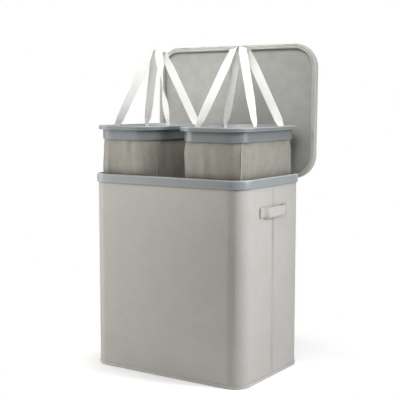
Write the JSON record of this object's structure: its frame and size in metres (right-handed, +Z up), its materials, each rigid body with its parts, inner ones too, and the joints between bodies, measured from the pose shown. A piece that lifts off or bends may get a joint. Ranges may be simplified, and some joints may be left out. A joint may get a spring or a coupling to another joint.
{
  "type": "laundry hamper",
  "caption": "Tall fabric-covered laundry hamper with a hinged lid, plastic rim, side handles and lift-out bags hung side by side, each with looped carrying straps.",
  "frame": {"origin": "middle of the underside of the box, on the floor", "axes": "+Z up, +X to the right along the long side seen from the front, +Y to the back where the lid is hinged"},
  "size_m": [0.592, 0.4232, 0.9988],
  "materials": {
    "cover_fabric": "fine woven polyester with a soft sheen",
    "lining_fabric": "plain woven lining",
    "bag_fabric": "thin coated weave, softly creased",
    "rim_plastic": "moulded, satin",
    "webbing": "flat woven webbing",
    "board": "stiff pressed board",
    "steel": "plated"
  },
  "bodies": {
    "box": {"base_cover": "cover_fabric", "base_board": "board", "floor_panel": "lining_fabric", "wall_board": "board", "outer_cover": "cover_fabric", "inner_lining": "lining_fabric", "bottom_binding": "cover_fabric", "body_rim": "rim_plastic", "side_seam_left": "cover_fabric", "side_handle_left": "cover_fabric", "hinge_block_left": "rim_plastic", "hinge_pin_left": "steel", "side_seam_right": "cover_fabric", "side_handle_right": "cover_fabric", "hinge_block_right": "rim_plastic", "hinge_pin_right": "steel", "block_screw_left_inner": "steel", "block_screw_left_outer": "steel", "block_screw_right_inner": "steel", "block_screw_right_outer": "steel"},
    "lid": {"lid_frame": "cover_fabric", "lid_board": "board", "lid_lining": "lining_fabric", "lid_cover": "cover_fabric", "hinge_leaf_left": "rim_plastic", "hinge_leaf_right": "rim_plastic", "leaf_screw_left_inner": "steel", "leaf_screw_left_outer": "steel", "leaf_screw_right_inner": "steel", "leaf_screw_right_outer": "steel"},
    "left_bag": {"bag_rim_left": "rim_plastic", "bag_liner_left_front": "bag_fabric", "bag_liner_left_back": "bag_fabric", "bag_liner_left_outer": "bag_fabric", "bag_liner_left_inner": "bag_fabric", "liner_floor_left": "bag_fabric", "clamp_ring_left": "rim_plastic", "base_pad_left": "board", "strap_tab_left_outer_front": "webbing", "strap_tab_left_outer_back": "webbing", "strap_tab_left_inner_front": "webbing", "strap_tab_left_inner_back": "webbing"},
    "right_bag": {"bag_rim_right": "rim_plastic", "bag_liner_right_front": "bag_fabric", "bag_liner_right_back": "bag_fabric", "bag_liner_right_outer": "bag_fabric", "bag_liner_right_inner": "bag_fabric", "liner_floor_right": "bag_fabric", "clamp_ring_right": "rim_plastic", "base_pad_right": "board", "strap_tab_right_outer_front": "webbing", "strap_tab_right_outer_back": "webbing", "strap_tab_right_inner_front": "webbing", "strap_tab_right_inner_back": "webbing"},
    "left_outer_strap": {"strap_left_outer": "webbing"},
    "left_inner_strap": {"strap_left_inner": "webbing"},
    "right_outer_strap": {"strap_right_outer": "webbing"},
    "right_inner_strap": {"strap_right_inner": "webbing"}
  },
  "joints": [
    {"name": "lid_hinge", "type": "hinge", "parent": "box", "child": "lid", "pos_m": [0, 0.199, 0.59], "axis": [-1, 0, 0], "range_deg": [-10, 0]},
    {"name": "left_bag_lift", "type": "slide", "parent": "box", "child": "left_bag", "axis": [0, 0, 1], "range_m": [-0.1347, 0.455]},
    {"name": "right_bag_lift", "type": "slide", "parent": "box", "child": "right_bag", "axis": [0, 0, 1], "range_m": [-0.1347, 0.455]},
    {"name": "left_outer_strap_fold", "type": "hinge", "parent": "left_bag", "child": "left_outer_strap", "pos_m": [-0.2503, 0, 0.7481], "axis": [0, -1, 0], "range_deg": [0, 110]},
    {"name": "left_inner_strap_fold", "type": "hinge", "parent": "left_bag", "child": "left_inner_strap", "pos_m": [-0.0547, 0, 0.7481], "axis": [0, 1, 0], "range_deg": [0, 30]},
    {"name": "right_outer_strap_fold", "type": "hinge", "parent": "right_bag", "child": "right_outer_strap", "pos_m": [0.2503, 0, 0.7481], "axis": [0, 1, 0], "range_deg": [0, 110]},
    {"name": "right_inner_strap_fold", "type": "hinge", "parent": "right_bag", "child": "right_inner_strap", "pos_m": [0.0547, 0, 0.7481], "axis": [0, -1, 0], "range_deg": [0, 30]}
  ]
}
